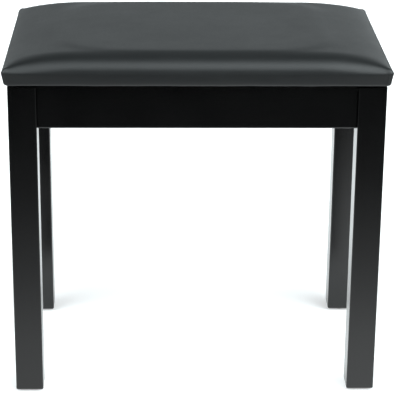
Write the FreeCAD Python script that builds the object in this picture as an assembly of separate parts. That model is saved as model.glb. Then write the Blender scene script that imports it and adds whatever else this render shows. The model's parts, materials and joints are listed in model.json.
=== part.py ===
"""Upholstered piano bench: four square legs, four aprons and a padded seat.

The seat is a lid. It is hinged along the back apron over a shallow compartment
for sheet music, and a two-arm folding stay holds it open.

Millimetres. X runs along the bench, Y from the front (-Y) to the back (+Y), and
Z is up from the floor. The origin is on the floor, under the middle of the bench.
"""
import FreeCAD, Part
import math
import os

from FreeCAD import Placement, Rotation, Vector

# Frame
FRAME_LENGTH = 530.0          # over the outer faces of the legs
FRAME_DEPTH = 330.0
FRAME_TOP = 470.5             # top of the legs and aprons
LEG_SIDE = 40.0
LEG_EDGE_RADIUS = 2.0
LEG_FOOT_CHAMFER = 1.8
APRON_HEIGHT = 62.0
APRON_THICKNESS = 18.0
APRON_RECESS = 6.0            # apron face behind the face of the legs
APRON_LOWER_RADIUS = 2.5
APRON_UPPER_RADIUS = 1.0
APRON_END_RADIUS = 1.2

# Compartment floor, held in grooves in the aprons
FLOOR_THICKNESS = 6.0
FLOOR_ABOVE_APRON_BOTTOM = 5.0
GROOVE_DEPTH = 6.0
GROOVE_CLEARANCE = 0.1
FLOOR_END_GAP = 0.5
FLOOR_LEG_GAP = 1.0

# Corner blocks and the hanger bolts that hold the legs
BLOCK_THICKNESS = 18.0
BLOCK_HEIGHT = 38.0
BLOCK_LEG_GAP = 3.0           # between the leg's inner edge and the block
BLOCK_ABOVE_FLOOR = 2.5
BLOCK_SCREW_OFFSET = 32.0     # along the block, from its middle
BLOCK_SCREW_HEIGHT = 12.0     # above and below the block's middle
BLOCK_SCREW_LENGTH = 27.0
BOLT_RADIUS = 4.0
BOLT_IN_LEG = 24.0
BOLT_BEYOND_NUT = 4.0
BOLT_HOLE_RADIUS = 4.5
BOLT_END_CHAMFER = 0.8
WASHER_RADIUS = 8.5
WASHER_THICKNESS = 1.6
WASHER_HOLE_RADIUS = 4.3
NUT_ACROSS_FLATS = 13.0
NUT_THICKNESS = 6.5
NUT_CHAMFER = 0.6

# Glides under the legs
GLIDE_RADIUS = 13.0
GLIDE_HEIGHT = 3.0
GLIDE_EDGE_RADIUS = 1.0
GLIDE_RECESS_RADIUS = 3.5
GLIDE_RECESS_DEPTH = 0.8
NAIL_HEAD_RADIUS = 3.0
NAIL_HEAD_THICKNESS = 1.0
NAIL_RADIUS = 1.25
NAIL_TIP_HEIGHT = 20.0

# Seat, which is the lid
SEAT_LENGTH = 545.0
SEAT_DEPTH = 345.0
SEAT_TOP = 515.0
SEAT_CREASE = 492.0           # height where the side band meets the rolled top
SEAT_TAPER = 3.0              # how far the band is drawn in at the underside
LID_GAP = 2.5                 # between the frame and the underside of the lid
SEAT_CORNER_RADIUS = 6.0
SEAT_ROLL_RADIUS = 20.0       # round stretch from the sides to the top
SEAT_LOWER_RADIUS = 2.5
COVER_THICKNESS = 1.0
COVER_RETURN = 22.0           # how far the cover is turned under the board
BOARD_THICKNESS = 17.0
DUST_COVER_GAP = 0.5

# Staples in the underside
STAPLE_CROWN = 10.0
STAPLE_WIRE = 1.2
STAPLE_CROWN_THICKNESS = 0.5
STAPLE_LEG_LENGTH = 7.0
COVER_STAPLE_INSET = 13.0     # from the outside of the seat
DUST_STAPLE_INSET = 10.0      # from the edge of the dust cover
COVER_STAPLE_PITCH = 36.0
DUST_STAPLE_PITCH = 62.0

# Bumpers between the legs and the lid
BUMPER_RADIUS = 5.5
BUMPER_INSET = 16.0           # from the outer faces of the leg

# Butt hinges along the back
HINGE_CENTRES = {"left": -150.0, "right": 150.0}
HINGE_LENGTH = 64.0
HINGE_AXIS_Y = 167.0
HINGE_AXIS_Z = 469.7
BARREL_RADIUS = 3.0
HINGE_BORE_RADIUS = 1.5
HINGE_PIN_RADIUS = 1.45
HINGE_PIN_HEAD = 0.6
LEAF_THICKNESS = 1.2
LEAF_REACH = 24.0             # from the pin to the free edge of a leaf
KNUCKLES = 5
KNUCKLE_GAP = 0.3
LEAF_CORNER_RADIUS = 2.5
HINGE_SCREW_SPACING = 40.0
HINGE_SCREW_REACH = 16.0      # from the pin to the screws
HINGE_SCREW_STAGGER = 5.0

# Folding stay. Pivots are given from the hinge axis: forward, then up.
STAY_X = 96.0                 # left face of the stay's frame bracket
STAY_OPEN_ANGLE = 80.0
STAY_BASE_PIVOT = (38.0, -42.0)
STAY_LID_PIVOT = (60.0, -8.0)
LOWER_LINK_LENGTH = 58.0
UPPER_LINK_LENGTH = 50.0
LINK_END_RADIUS = 5.5
LINK_THICKNESS = 2.0
LINK_GAP = 0.3
RIVET_RADIUS = 2.4
RIVET_BORE_RADIUS = 2.45
RIVET_HEAD_RADIUS = 4.4
RIVET_HEAD_HEIGHT = 1.5
RIVET_END_GAP = 0.15
BRACKET_THICKNESS = 2.0
BRACKET_FLANGE = 15.0
FRAME_BRACKET_HEIGHT = 30.0
LID_BRACKET_LENGTH = 30.0
BRACKET_SCREW_SPACING = 19.0
BRACKET_SCREW_SHIFT = 1.0     # from the middle of a flange, away from the ear

# Wood screws: shank radius, head radius, length
BLOCK_SCREW = (2.0, 4.0, BLOCK_SCREW_LENGTH)
HINGE_SCREW = (1.5, 2.9, 11.0)
BRACKET_SCREW = (1.75, 3.3, 11.0)
SCREW_POINT_LENGTH = 4.0
SCREW_POINT_RADIUS = 0.3
DRIVE_WIDTH = 0.8
DRIVE_DEPTH = 1.0
DRIVE_SPAN = 0.6              # of the head's width

# Planes and places that follow from the sizes above
APRON_BOTTOM = FRAME_TOP - APRON_HEIGHT
FLOOR_BOTTOM = APRON_BOTTOM + FLOOR_ABOVE_APRON_BOTTOM
FLOOR_TOP = FLOOR_BOTTOM + FLOOR_THICKNESS
LEG_INNER_X = FRAME_LENGTH / 2 - LEG_SIDE
LEG_INNER_Y = FRAME_DEPTH / 2 - LEG_SIDE
APRON_OUTER_X = FRAME_LENGTH / 2 - APRON_RECESS
APRON_OUTER_Y = FRAME_DEPTH / 2 - APRON_RECESS
APRON_INNER_X = APRON_OUTER_X - APRON_THICKNESS
APRON_INNER_Y = APRON_OUTER_Y - APRON_THICKNESS
SEAT_UNDERSIDE = FRAME_TOP + LID_GAP
BOARD_BOTTOM = SEAT_UNDERSIDE + COVER_THICKNESS
BOARD_TOP = BOARD_BOTTOM + BOARD_THICKNESS
BLOCK_BOTTOM = FLOOR_TOP + BLOCK_ABOVE_FLOOR
BLOCK_MIDDLE = BLOCK_BOTTOM + BLOCK_HEIGHT / 2

TOLERANCE = 0.01              # for finding edges by where they lie
CUT_MARGIN = 1.0              # how far a cutting form stands out of what it cuts

CORNERS = {
    "front_left": (-1, -1),
    "front_right": (1, -1),
    "back_left": (-1, 1),
    "back_right": (1, 1),
}
UP = Vector(0, 0, 1)
DOWN = Vector(0, 0, -1)
ALONG = Vector(1, 0, 0)
BACKWARD = Vector(0, 1, 0)


def box(low, high):
    """Box between two opposite corners."""
    size = [b - a for a, b in zip(low, high)]
    return Part.makeBox(size[0], size[1], size[2], Vector(*low))


def aimed(shape, place, axis):
    """Turn a shape drawn along +Z at the origin to point along axis from place."""
    moved = shape.copy()
    moved.Placement = Placement(Vector(*place), Rotation(UP, axis))
    return moved


def edges_along(shape, direction):
    """Straight edges of a shape that run along a direction."""
    found = []
    for edge in shape.Edges:
        ends = [vertex.Point for vertex in edge.Vertexes]
        if len(ends) == 2 and ends[0].distanceToPoint(ends[1]) > TOLERANCE:
            run = (ends[1] - ends[0]).normalize()
            if abs(run.dot(direction)) > 0.999:
                found.append(edge)
    return found


def edges_at_height(shape, height):
    """Edges of a shape that lie wholly at one height."""
    found = []
    for edge in shape.Edges:
        bounds = edge.BoundBox
        if abs(bounds.ZMin - height) < TOLERANCE and abs(bounds.ZMax - height) < TOLERANCE:
            found.append(edge)
    return found


def on_plane(edges, axis, offset):
    """Those of the edges whose middle lies on a plane across X (0) or Y (1)."""
    return [edge for edge in edges if abs(edge.BoundBox.Center[axis] - offset) < TOLERANCE]


def without(shape, cutters):
    """Cut a list of shapes out of a shape."""
    if not cutters:
        return shape
    return shape.cut(Part.makeCompound(cutters))


def export(node, solids):
    """Write one node, which is one solid or a group of separate solids."""
    shape = solids[0] if len(solids) == 1 else Part.makeCompound(solids)
    shape.exportStep("parts/" + node + ".step")
    volume = sum(solid.Volume for solid in solids)
    print(f"{node:26s} solids {len(shape.Solids):3d}  volume {volume:12.1f}  valid {shape.isValid()}")


# ---------------------------------------------------------------- fasteners

def screw_form(size):
    """Plain countersunk screw, head flush at the origin, shank along -Z."""
    shank_radius, head_radius, length = size
    head_height = head_radius - shank_radius
    profile = [
        Vector(0, 0, 0),
        Vector(head_radius, 0, 0),
        Vector(shank_radius, 0, -head_height),
        Vector(shank_radius, 0, SCREW_POINT_LENGTH - length),
        Vector(SCREW_POINT_RADIUS, 0, -length),
        Vector(0, 0, -length),
        Vector(0, 0, 0),
    ]
    return Part.Face(Part.makePolygon(profile)).revolve(Vector(), UP, 360)


def screw(size):
    """Countersunk screw with a cross recess in its head."""
    span = size[1] * 2 * DRIVE_SPAN
    slot = box((-span / 2, -DRIVE_WIDTH / 2, -DRIVE_DEPTH), (span / 2, DRIVE_WIDTH / 2, DRIVE_DEPTH))
    crossed = slot.copy()
    crossed.rotate(Vector(), UP, 90)
    return without(screw_form(size), [slot, crossed])


def screws_at(size, places, head_direction):
    """Screws at several places, with the forms that cut their holes."""
    made = [aimed(screw(size), place, head_direction) for place in places]
    holes = [aimed(screw_form(size), place, head_direction) for place in places]
    return made, holes


def rivet_head():
    """Domed rivet head on the plane Z = 0, standing up along +Z."""
    sphere_radius = (RIVET_HEAD_RADIUS ** 2 + RIVET_HEAD_HEIGHT ** 2) / (2 * RIVET_HEAD_HEIGHT)
    sphere = Part.makeSphere(sphere_radius, Vector(0, 0, RIVET_HEAD_HEIGHT - sphere_radius))
    keep = Part.makeCylinder(RIVET_HEAD_RADIUS + CUT_MARGIN, RIVET_HEAD_HEIGHT + CUT_MARGIN)
    return sphere.common(keep)


def rivet(place, low_x, high_x, low_head, high_head):
    """Rivet along X through place, with a dome at either end or at both."""
    across, height = place
    start = Vector(low_x, across, height)
    body = Part.makeCylinder(RIVET_RADIUS, high_x - low_x, start, ALONG)
    if low_head:
        body = body.fuse(aimed(rivet_head(), start, ALONG * -1))
    if high_head:
        body = body.fuse(aimed(rivet_head(), (high_x, across, height), ALONG))
    return body.removeSplitter()


# -------------------------------------------------------------------- frame

def corner_direction(signs):
    """Level unit vector from a corner of the bench towards its middle."""
    return Vector(-signs[0], -signs[1], 0).normalize()


def corner_point(signs, inward, height):
    """Point on a corner's diagonal, a distance inward of the leg's inner edge."""
    edge = Vector(signs[0] * LEG_INNER_X, signs[1] * LEG_INNER_Y, height)
    return edge + corner_direction(signs) * inward


def leg_centre(signs, height):
    """Point on the axis of a leg."""
    half = LEG_SIDE / 2
    return Vector(signs[0] * (FRAME_LENGTH / 2 - half), signs[1] * (FRAME_DEPTH / 2 - half), height)


def bolt_length():
    """Length of a hanger bolt, from inside the leg to beyond its nut."""
    inside = BLOCK_LEG_GAP + BLOCK_THICKNESS + WASHER_THICKNESS + NUT_THICKNESS
    return BOLT_IN_LEG + inside + BOLT_BEYOND_NUT


def hanger_bolt(signs):
    """Hanger bolt on the diagonal of a corner."""
    rod = Part.makeCylinder(BOLT_RADIUS, bolt_length())
    rod = rod.makeChamfer(BOLT_END_CHAMFER, [e for e in rod.Edges if e.Closed])
    return aimed(rod, corner_point(signs, -BOLT_IN_LEG, BLOCK_MIDDLE), corner_direction(signs))


def bolt_hole(signs, radius):
    """Straight hole round a hanger bolt."""
    rod = Part.makeCylinder(radius, bolt_length())
    return aimed(rod, corner_point(signs, -BOLT_IN_LEG, BLOCK_MIDDLE), corner_direction(signs))


def washer(signs):
    """Washer between the corner block and the nut."""
    ring = Part.makeCylinder(WASHER_RADIUS, WASHER_THICKNESS)
    ring = ring.cut(Part.makeCylinder(WASHER_HOLE_RADIUS, WASHER_THICKNESS))
    inward = BLOCK_LEG_GAP + BLOCK_THICKNESS
    return aimed(ring, corner_point(signs, inward, BLOCK_MIDDLE), corner_direction(signs))


def nut(signs):
    """Hexagon nut with chamfered corners."""
    corner = NUT_ACROSS_FLATS / math.sqrt(3)
    turns = [math.radians(60 * i) for i in range(7)]
    outline = [Vector(corner * math.cos(turn), corner * math.sin(turn), 0) for turn in turns]
    prism = Part.Face(Part.makePolygon(outline)).extrude(UP * NUT_THICKNESS)
    low = Vector(0, 0, -corner)
    cone_height = NUT_THICKNESS + corner
    cone = Part.makeCone(corner + cone_height, corner - NUT_CHAMFER, cone_height, low)
    prism = prism.common(cone).cut(Part.makeCylinder(BOLT_RADIUS, NUT_THICKNESS))
    inward = BLOCK_LEG_GAP + BLOCK_THICKNESS + WASHER_THICKNESS
    return aimed(prism, corner_point(signs, inward, BLOCK_MIDDLE), corner_direction(signs))


def leg(signs):
    """Square leg with eased edges, bored for its hanger bolt and its glide's nail."""
    centre = leg_centre(signs, 0)
    half = LEG_SIDE / 2
    low = (centre.x - half, centre.y - half, GLIDE_HEIGHT)
    high = (centre.x + half, centre.y + half, FRAME_TOP)
    post = box(low, high)
    post = post.makeFillet(LEG_EDGE_RADIUS, edges_along(post, UP))
    post = post.makeChamfer(LEG_FOOT_CHAMFER, edges_at_height(post, GLIDE_HEIGHT))
    nail_depth = NAIL_TIP_HEIGHT - GLIDE_HEIGHT
    nail_hole = Part.makeCylinder(NAIL_RADIUS, nail_depth, leg_centre(signs, GLIDE_HEIGHT))
    return without(post, [nail_hole, bolt_hole(signs, BOLT_RADIUS)])


def glide(signs):
    """Round plastic glide, recessed underneath for its nail's head."""
    disc = Part.makeCylinder(GLIDE_RADIUS, GLIDE_HEIGHT, leg_centre(signs, 0))
    disc = disc.makeFillet(GLIDE_EDGE_RADIUS, edges_at_height(disc, 0))
    head_depth = GLIDE_RECESS_DEPTH + NAIL_HEAD_THICKNESS
    recess = Part.makeCylinder(GLIDE_RECESS_RADIUS, GLIDE_RECESS_DEPTH, leg_centre(signs, 0))
    seat = Part.makeCylinder(NAIL_HEAD_RADIUS, head_depth, leg_centre(signs, 0))
    through = Part.makeCylinder(NAIL_RADIUS, GLIDE_HEIGHT, leg_centre(signs, 0))
    return without(disc, [recess, seat, through])


def glide_nail(signs):
    """Nail that holds a glide to the end grain of a leg."""
    head = Part.makeCylinder(NAIL_HEAD_RADIUS, NAIL_HEAD_THICKNESS, leg_centre(signs, GLIDE_RECESS_DEPTH))
    shank_length = NAIL_TIP_HEIGHT - GLIDE_RECESS_DEPTH
    shank = Part.makeCylinder(NAIL_RADIUS, shank_length, leg_centre(signs, GLIDE_RECESS_DEPTH))
    return head.fuse(shank).removeSplitter()


def corner_block(signs):
    """Wooden block across a corner, glued and screwed to both aprons."""
    sx, sy = signs
    edge_depth = (APRON_INNER_X - LEG_INNER_X) + (APRON_INNER_Y - LEG_INNER_Y)
    outline = []
    for inward in (BLOCK_LEG_GAP, BLOCK_LEG_GAP + BLOCK_THICKNESS):
        along_apron = inward * math.sqrt(2) + edge_depth
        on_side = Vector(sx * APRON_INNER_X, sy * (APRON_INNER_Y - along_apron), BLOCK_BOTTOM)
        on_long = Vector(sx * (APRON_INNER_X - along_apron), sy * APRON_INNER_Y, BLOCK_BOTTOM)
        outline += [on_side, on_long] if not outline else [on_long, on_side]
    outline.append(outline[0])
    return Part.Face(Part.makePolygon(outline)).extrude(UP * BLOCK_HEIGHT)


def block_screws(signs):
    """Four screws through a corner block, two into each apron."""
    inward = corner_direction(signs)
    sideways = inward.cross(UP)
    face = BLOCK_LEG_GAP + BLOCK_THICKNESS
    places = []
    for side in (-1, 1):
        for level in (-1, 1):
            height = BLOCK_MIDDLE + level * BLOCK_SCREW_HEIGHT
            places.append(corner_point(signs, face, height) + sideways * (side * BLOCK_SCREW_OFFSET))
    return screws_at(BLOCK_SCREW, places, inward)


def eased_rail(low, high, axis, outer):
    """Rail with the edges of its outer face eased; axis is the one across the rail."""
    rail = box(low, high)
    for height, radius in ((low[2], APRON_LOWER_RADIUS), (high[2], APRON_UPPER_RADIUS)):
        rail = rail.makeFillet(radius, on_plane(edges_at_height(rail, height), axis, outer))
    return rail.makeFillet(APRON_END_RADIUS, on_plane(edges_along(rail, UP), axis, outer))


def floor_panel(clearance):
    """Compartment floor, notched round the legs; with clearance, its groove."""
    end_gap = 0.0 if clearance else FLOOR_END_GAP
    reach_x = APRON_INNER_X + GROOVE_DEPTH - end_gap
    reach_y = APRON_INNER_Y + GROOVE_DEPTH - end_gap
    low = (-reach_x, -reach_y, FLOOR_BOTTOM - clearance)
    high = (reach_x, reach_y, FLOOR_TOP + clearance)
    panel = box(low, high)
    if clearance:
        return panel
    notches = []
    for signs in CORNERS.values():
        inner = corner_point(signs, 0, low[2])
        inner = (inner.x - signs[0] * FLOOR_LEG_GAP, inner.y - signs[1] * FLOOR_LEG_GAP, low[2])
        outer = (signs[0] * (reach_x + CUT_MARGIN), signs[1] * (reach_y + CUT_MARGIN), high[2])
        pairs = list(zip(inner, outer))
        notches.append(box([min(pair) for pair in pairs], [max(pair) for pair in pairs]))
    return without(panel, notches)


def long_apron(side, cutters):
    """Front or back apron."""
    faces = sorted((side * APRON_INNER_Y, side * APRON_OUTER_Y))
    low = (-LEG_INNER_X, faces[0], APRON_BOTTOM)
    high = (LEG_INNER_X, faces[1], FRAME_TOP)
    return without(eased_rail(low, high, 1, side * APRON_OUTER_Y), cutters)


def side_apron(side, cutters):
    """Left or right apron."""
    faces = sorted((side * APRON_INNER_X, side * APRON_OUTER_X))
    low = (faces[0], -LEG_INNER_Y, APRON_BOTTOM)
    high = (faces[1], LEG_INNER_Y, FRAME_TOP)
    return without(eased_rail(low, high, 0, side * APRON_OUTER_X), cutters)


def bumper(signs):
    """Rubber bumper on top of a leg, under the lid."""
    across = signs[0] * (FRAME_LENGTH / 2 - BUMPER_INSET)
    back = signs[1] * (FRAME_DEPTH / 2 - BUMPER_INSET)
    return Part.makeCylinder(BUMPER_RADIUS, LID_GAP, Vector(across, back, FRAME_TOP))


# --------------------------------------------------------------------- seat

def rounded_outline(half_length, half_depth, radius, height):
    """Level rectangle with round corners, as a closed wire."""
    slab = box((-half_length, -half_depth, height), (half_length, half_depth, height + radius))
    slab = slab.makeFillet(radius, edges_along(slab, UP))
    return Part.Wire(Part.__sortEdges__(edges_at_height(slab, height)))


def seat_roll(inset):
    """Part of the seat above the crease: a slab with rolled top edges."""
    length = SEAT_LENGTH / 2 - inset
    depth = SEAT_DEPTH / 2 - inset
    high = SEAT_TOP - inset
    roll = SEAT_ROLL_RADIUS - inset
    slab = box((-length, -depth, SEAT_CREASE), (length, depth, high))
    slab = slab.makeFillet(roll, edges_at_height(slab, high))
    corner_edges = []
    for edge in slab.Edges:
        bounds = edge.BoundBox
        near_x = min(abs(bounds.XMax), abs(bounds.XMin)) > length - roll - TOLERANCE
        near_y = min(abs(bounds.YMax), abs(bounds.YMin)) > depth - roll - TOLERANCE
        if near_x and near_y and bounds.ZLength > TOLERANCE:
            corner_edges.append(edge)
    return slab.makeFillet(SEAT_CORNER_RADIUS - inset, corner_edges)


def seat_form(inset):
    """Form of the seat, drawn in by inset all round: a tapered band under the roll."""
    length = SEAT_LENGTH / 2 - inset
    depth = SEAT_DEPTH / 2 - inset
    low = SEAT_UNDERSIDE + inset
    radius = SEAT_CORNER_RADIUS - inset
    foot = rounded_outline(length - SEAT_TAPER, depth - SEAT_TAPER, radius, low)
    crease = rounded_outline(length, depth, radius, SEAT_CREASE)
    band = Part.makeLoft([foot, crease], True, True)
    band = band.makeFillet(SEAT_LOWER_RADIUS - inset, edges_at_height(band, low))
    return band.fuse(seat_roll(inset)).removeSplitter()


def return_opening(gap):
    """Space inside the turned-under edge of the cover."""
    margin = SEAT_TAPER + COVER_THICKNESS + COVER_RETURN + gap
    length = SEAT_LENGTH / 2 - margin
    depth = SEAT_DEPTH / 2 - margin
    return box((-length, -depth, SEAT_UNDERSIDE), (length, depth, BOARD_BOTTOM))


def staple(place, crown_axis):
    """Staple driven up into the board, its crown under the fabric."""
    half = STAPLE_CROWN / 2
    wire = STAPLE_WIRE / 2
    crown = box((-half, -wire, -STAPLE_CROWN_THICKNESS), (half, wire, 0))
    for end in (-1, 1):
        outer = end * half
        inner = end * (half - STAPLE_WIRE)
        prong = box((min(outer, inner), -wire, 0), (max(outer, inner), wire, STAPLE_LEG_LENGTH))
        crown = crown.fuse(prong)
    made = crown.removeSplitter()
    made.Placement = Placement(Vector(*place), Rotation(ALONG, crown_axis))
    return made


def under_a_hinge(x, y):
    """True where a hinge leaf covers the underside of the lid."""
    near = [abs(x - centre) < HINGE_LENGTH / 2 + STAPLE_CROWN for centre in HINGE_CENTRES.values()]
    return any(near) and y > HINGE_AXIS_Y - LEAF_REACH - STAPLE_CROWN


def staple_row(inset, pitch):
    """Staples round a rectangle that lies inset from the outside of the seat."""
    half_length = SEAT_LENGTH / 2 - inset
    half_depth = SEAT_DEPTH / 2 - inset
    made = []
    rows = ((half_length, half_depth, ALONG), (half_depth, half_length, BACKWARD))
    for run, offset, crown_axis in rows:
        count = int(2 * (run - pitch / 2) / pitch)
        for i in range(count + 1):
            along = (i - count / 2) * pitch
            for side in (-1, 1):
                spot = (along, side * offset) if crown_axis is ALONG else (side * offset, along)
                if not under_a_hinge(*spot):
                    made.append(staple((spot[0], spot[1], SEAT_UNDERSIDE), crown_axis))
    return made


# ------------------------------------------------------------------- hinges

def knuckle(centre, index, lengthened):
    """One knuckle of a hinge barrel, or the wider space that it needs."""
    pitch = HINGE_LENGTH / KNUCKLES
    trim = -KNUCKLE_GAP / 2 if lengthened else KNUCKLE_GAP / 2
    start = centre - HINGE_LENGTH / 2 + index * pitch + trim
    radius = BARREL_RADIUS + KNUCKLE_GAP if lengthened else BARREL_RADIUS
    place = Vector(start, HINGE_AXIS_Y, HINGE_AXIS_Z)
    return Part.makeCylinder(radius, pitch - 2 * trim, place, ALONG)


def leaf(centre, bottom, own, others, screw_holes):
    """Hinge leaf: a flat plate rolled into its own knuckles round the pin."""
    half = HINGE_LENGTH / 2
    plate = box(
        (centre - half, HINGE_AXIS_Y - LEAF_REACH, bottom),
        (centre + half, HINGE_AXIS_Y, bottom + LEAF_THICKNESS),
    )
    free_corners = on_plane(edges_along(plate, UP), 1, HINGE_AXIS_Y - LEAF_REACH)
    plate = plate.makeFillet(LEAF_CORNER_RADIUS, free_corners)
    pitch = HINGE_LENGTH / KNUCKLES
    clear = BARREL_RADIUS + KNUCKLE_GAP
    for index in others:
        start = centre - half + index * pitch
        first = start - (KNUCKLE_GAP / 2 if index else CUT_MARGIN)
        last = start + pitch + (KNUCKLE_GAP / 2 if index < KNUCKLES - 1 else CUT_MARGIN)
        low = (first, HINGE_AXIS_Y - clear, bottom - CUT_MARGIN)
        high = (last, HINGE_AXIS_Y + CUT_MARGIN, bottom + LEAF_THICKNESS + CUT_MARGIN)
        plate = plate.cut(box(low, high))
    for index in own:
        plate = plate.fuse(knuckle(centre, index, False))
    start = Vector(centre - half - CUT_MARGIN, HINGE_AXIS_Y, HINGE_AXIS_Z)
    bore = Part.makeCylinder(HINGE_BORE_RADIUS, HINGE_LENGTH + 2 * CUT_MARGIN, start, ALONG)
    return without(plate.removeSplitter(), [bore] + screw_holes)


def hinge_pin(centre):
    """Loose pin with a low head at each end."""
    half = HINGE_LENGTH / 2
    start = Vector(centre - half - HINGE_PIN_HEAD, HINGE_AXIS_Y, HINGE_AXIS_Z)
    shank = Part.makeCylinder(HINGE_PIN_RADIUS, HINGE_LENGTH + 2 * HINGE_PIN_HEAD, start, ALONG)
    far = start + ALONG * (HINGE_LENGTH + HINGE_PIN_HEAD)
    head_radius = BARREL_RADIUS - KNUCKLE_GAP
    heads = [Part.makeCylinder(head_radius, HINGE_PIN_HEAD, end, ALONG) for end in (start, far)]
    return shank.fuse(heads).removeSplitter()


def hinge_screw_places(centre, height):
    """Three screw places on a leaf, the middle one set nearer the pin."""
    row = HINGE_AXIS_Y - HINGE_SCREW_REACH
    half = HINGE_SCREW_SPACING / 2
    return [
        (centre - half, row, height),
        (centre, row + HINGE_SCREW_STAGGER, height),
        (centre + half, row, height),
    ]


# --------------------------------------------------------------------- stay

def stay_point(pivot):
    """Y and Z of a point given forward and up from the hinge axis."""
    return HINGE_AXIS_Y - pivot[0], HINGE_AXIS_Z + pivot[1]


def turned(pivot, degrees):
    """Forward and up position of a point of the lid once the lid is opened."""
    turn = math.radians(degrees)
    forward = pivot[0] * math.cos(turn) - pivot[1] * math.sin(turn)
    up = pivot[0] * math.sin(turn) + pivot[1] * math.cos(turn)
    return forward, up


def elbow_pivot(lid_pivot):
    """Elbow of the stay, on the front side of the line between its end pivots."""
    forward = lid_pivot[0] - STAY_BASE_PIVOT[0]
    up = lid_pivot[1] - STAY_BASE_PIVOT[1]
    span = math.hypot(forward, up)
    squares = span ** 2 + LOWER_LINK_LENGTH ** 2 - UPPER_LINK_LENGTH ** 2
    cosine = squares / (2 * span * LOWER_LINK_LENGTH)
    angle = math.atan2(up, forward) - math.acos(cosine)
    return (
        STAY_BASE_PIVOT[0] + LOWER_LINK_LENGTH * math.cos(angle),
        STAY_BASE_PIVOT[1] + LOWER_LINK_LENGTH * math.sin(angle),
    )


def link(start, end, low_x, bored):
    """Flat link with round ends, in the plane across X, bored at the places given."""
    first = Vector(low_x, *start)
    last = Vector(low_x, *end)
    run = last - first
    side = run.cross(ALONG).normalize() * LINK_END_RADIUS
    outline = [first + side, last + side, last - side, first - side, first + side]
    bar = Part.Face(Part.makePolygon(outline)).extrude(ALONG * LINK_THICKNESS)
    for place in (first, last):
        bar = bar.fuse(Part.makeCylinder(LINK_END_RADIUS, LINK_THICKNESS, place, ALONG))
    holes = []
    for place, radius in bored:
        holes.append(Part.makeCylinder(radius, LINK_THICKNESS, Vector(low_x, *place), ALONG))
    return without(bar.removeSplitter(), holes)


def frame_bracket(low_x, screw_holes):
    """Angle bracket on the back apron, its ear carrying the lower link."""
    across, height = stay_point(STAY_BASE_PIVOT)
    face = APRON_INNER_Y - BRACKET_THICKNESS
    bottom = FLOOR_TOP + BLOCK_ABOVE_FLOOR
    flange = box(
        (low_x + BRACKET_THICKNESS - BRACKET_FLANGE, face, bottom),
        (low_x + BRACKET_THICKNESS, APRON_INNER_Y, bottom + FRAME_BRACKET_HEIGHT),
    )
    ear = box(
        (low_x, across, height - LINK_END_RADIUS),
        (low_x + BRACKET_THICKNESS, face, height + LINK_END_RADIUS),
    )
    eye = Part.makeCylinder(LINK_END_RADIUS, BRACKET_THICKNESS, Vector(low_x, across, height), ALONG)
    hole = Part.makeCylinder(RIVET_RADIUS, BRACKET_THICKNESS, Vector(low_x, across, height), ALONG)
    return without(flange.fuse([ear, eye]).removeSplitter(), [hole] + screw_holes)


def lid_bracket(low_x, screw_holes):
    """Angle bracket under the lid, its ear meeting the upper link."""
    across, height = stay_point(STAY_LID_PIVOT)
    bottom = SEAT_UNDERSIDE - BRACKET_THICKNESS
    half = LID_BRACKET_LENGTH / 2
    flange = box(
        (low_x, across - half, bottom),
        (low_x + BRACKET_FLANGE, across + half, SEAT_UNDERSIDE),
    )
    ear = box(
        (low_x, across - LINK_END_RADIUS, height),
        (low_x + BRACKET_THICKNESS, across + LINK_END_RADIUS, bottom),
    )
    eye = Part.makeCylinder(LINK_END_RADIUS, BRACKET_THICKNESS, Vector(low_x, across, height), ALONG)
    hole = Part.makeCylinder(RIVET_RADIUS, BRACKET_THICKNESS, Vector(low_x, across, height), ALONG)
    return without(flange.fuse([ear, eye]).removeSplitter(), [hole] + screw_holes)


def pair_about(middle, spacing):
    """Two values, spacing apart, about a middle one."""
    return middle - spacing / 2, middle + spacing / 2


def bearing(start, end):
    """Direction from one pivot to another, in degrees."""
    return math.degrees(math.atan2(end[1] - start[1], end[0] - start[0]))


def print_stay_motion():
    """Print the angles that the stay's links turn through, per degree of the lid."""
    shut = elbow_pivot(STAY_LID_PIVOT)
    lid_open = turned(STAY_LID_PIVOT, STAY_OPEN_ANGLE)
    opened = elbow_pivot(lid_open)
    lower = []
    upper = []
    for lid, elbow in ((STAY_LID_PIVOT, shut), (lid_open, opened)):
        lower.append(bearing(STAY_BASE_PIVOT, elbow))
        upper.append(bearing(elbow, lid))
    lower_turn = lower[1] - lower[0]
    upper_turn = upper[1] - upper[0] - lower_turn
    print("base pivot, y z", stay_point(STAY_BASE_PIVOT))
    print("elbow pivot, y z", stay_point(shut), "opened", stay_point(opened))
    print("lid pivot, y z", stay_point(STAY_LID_PIVOT), "opened", stay_point(lid_open))
    print("lower link turns", lower_turn, "ratio", lower_turn / STAY_OPEN_ANGLE)
    print("upper link turns on the lower", upper_turn, "ratio", upper_turn / STAY_OPEN_ANGLE)
    print("elbow bend when open", 180 - abs(upper[1] - lower[1]))


# ----------------------------------------------------------------- assembly

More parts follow.
